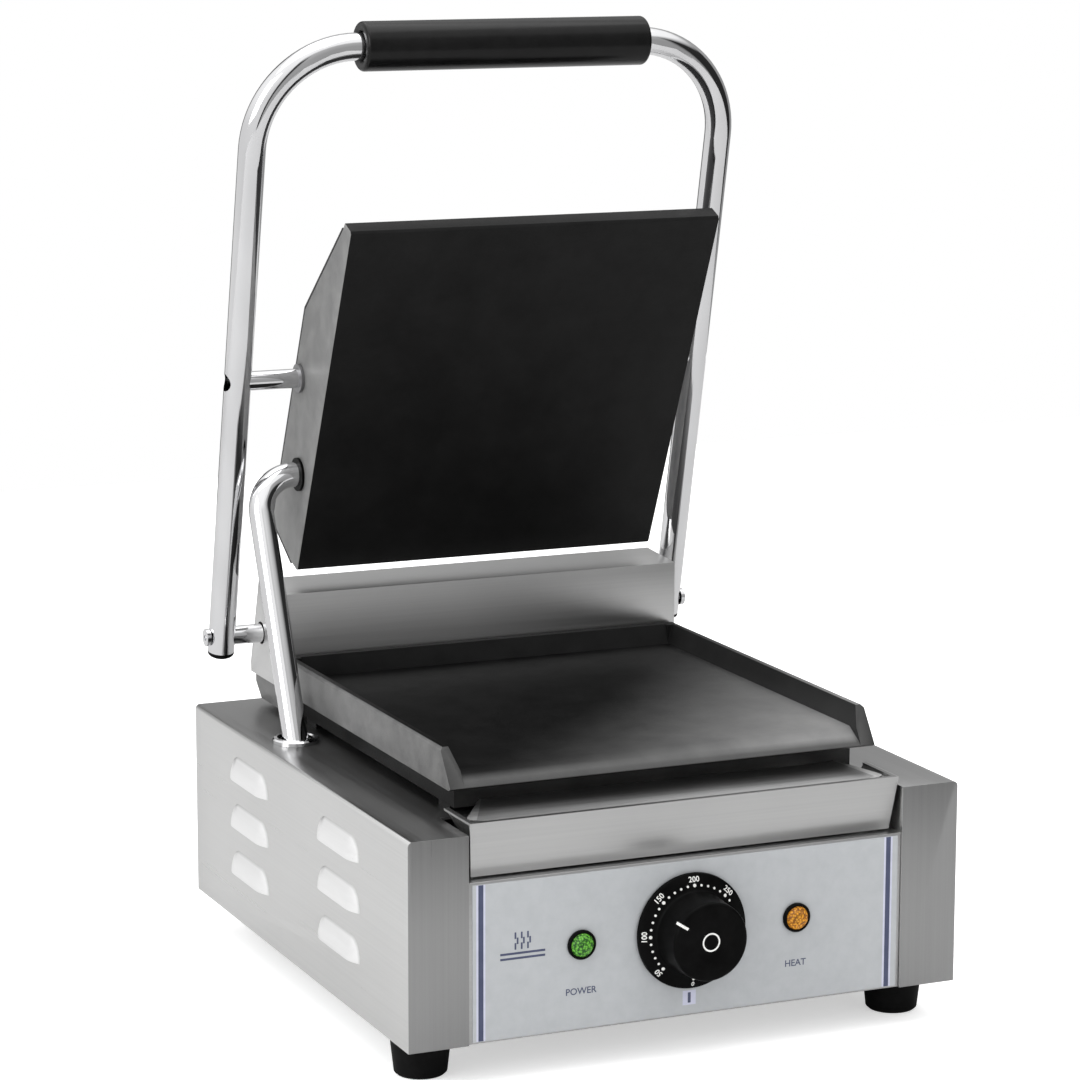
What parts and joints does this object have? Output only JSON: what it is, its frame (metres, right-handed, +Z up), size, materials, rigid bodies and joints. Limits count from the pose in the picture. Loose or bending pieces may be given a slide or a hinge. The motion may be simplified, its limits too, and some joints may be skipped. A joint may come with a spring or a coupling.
{
  "type": "panini press",
  "caption": "Single contact grill with a spring-balanced hinged upper plate, tubular handle, pull-out drip tray and thermostat knob.",
  "frame": {"origin": "centre of the object's box on the plane its feet stand on", "axes": "+X to the right seen from the front, +Y to the back, +Z up"},
  "size_m": [0.297, 0.343, 0.4846],
  "materials": {
    "stainless": "satin brushed along the length",
    "tray_steel": "satin brushed",
    "zinc_steel": "zinc plated",
    "panel_steel": "light grey enamel",
    "fascia": "satin light blue-grey print",
    "rubber": "matt",
    "black_moulding": "satin black moulding",
    "thermostat_case": "moulded",
    "bronze": "sintered",
    "green_lens": "clear faceted",
    "amber_lens": "clear faceted",
    "cast_iron": "black enamelled",
    "element_sheath": "oxidised",
    "spring_steel": "oil blackened",
    "chrome": "polished",
    "dark_screw": "blackened",
    "black_paint": "heat-proof black paint",
    "ceramic_block": "glazed steatite",
    "wire_sleeve": "woven glass sleeve"
  },
  "bodies": {
    "base": {"housing_shell": "stainless", "rear_panel": "stainless", "rear_panel_screws": "zinc_steel", "base_plate": "zinc_steel", "base_screws": "zinc_steel", "feet": "rubber", "foot_screws": "zinc_steel", "control_panel": "panel_steel", "fascia_overlay": "fascia", "thermostat_body": "thermostat_case", "sensor_capillary": "bronze", "power_lamp_holder": "black_moulding", "power_lamp_lens": "green_lens", "heat_lamp_holder": "black_moulding", "heat_lamp_lens": "amber_lens", "tray_guides": "zinc_steel", "lower_plate": "cast_iron", "plate_spacers": "cast_iron", "plate_bolts": "zinc_steel", "lower_element": "element_sheath", "lower_clamp_plate": "zinc_steel", "hinge_bracket": "cast_iron", "hinge_bracket_bolts": "zinc_steel", "rear_cover": "stainless", "rear_cover_screws": "zinc_steel", "axle_bushes": "bronze", "torsion_springs": "spring_steel", "conduit_ferrule": "chrome", "terminal_block": "ceramic_block", "cord_gland": "black_moulding", "wiring_loom": "wire_sleeve"},
    "lid": {"handle_frame": "chrome", "handle_grip": "black_moulding", "tube_end_plugs": "black_moulding", "hinge_axle": "chrome", "axle_screws": "chrome", "spring_collars": "spring_steel", "platen_studs": "chrome", "stud_screws": "dark_screw"},
    "platen": {"upper_platen": "cast_iron", "platen_bushes": "bronze", "upper_element": "element_sheath", "upper_clamp_plate": "zinc_steel", "platen_cover": "black_paint", "platen_cover_screws": "dark_screw", "conduit_bush": "black_moulding"},
    "conduit": {"conduit_tube": "chrome"},
    "tray": {"drip_tray": "tray_steel"},
    "knob": {"thermostat_knob": "black_moulding", "thermostat_spindle": "zinc_steel"}
  },
  "joints": [
    {"name": "lid_hinge", "type": "hinge", "parent": "base", "child": "lid", "pos_m": [0, 0.1385, 0.161], "axis": [1, 0, 0], "range_deg": [0, 69.58], "stiffness_Nm_per_rad": 4.7, "springref_deg": -34.38},
    {"name": "platen_tilt", "type": "hinge", "parent": "lid", "child": "platen", "pos_m": [0, 0.108, 0.3005], "axis": [1, 0, 0], "range_deg": [-3.59, 0]},
    {"name": "conduit_swivel", "type": "hinge", "parent": "platen", "child": "conduit", "pos_m": [-0.1015, 0.111, 0.2496], "axis": [1, 0, 0], "range_deg": [-28.61, 0]},
    {"name": "drip_tray_slide", "type": "slide", "parent": "base", "child": "tray", "axis": [0, -1, 0], "range_m": [0, 0.12]},
    {"name": "thermostat_turn", "type": "hinge", "parent": "base", "child": "knob", "pos_m": [0, -0.1479, 0.063], "axis": [0, -1, 0], "range_deg": [0, 235]}
  ],
  "couplings": [
    {"joint": "platen_tilt", "follows": "lid_hinge", "ratio": -0.05139},
    {"joint": "conduit_swivel", "follows": "lid_hinge", "ratio": -0.41092}
  ]
}
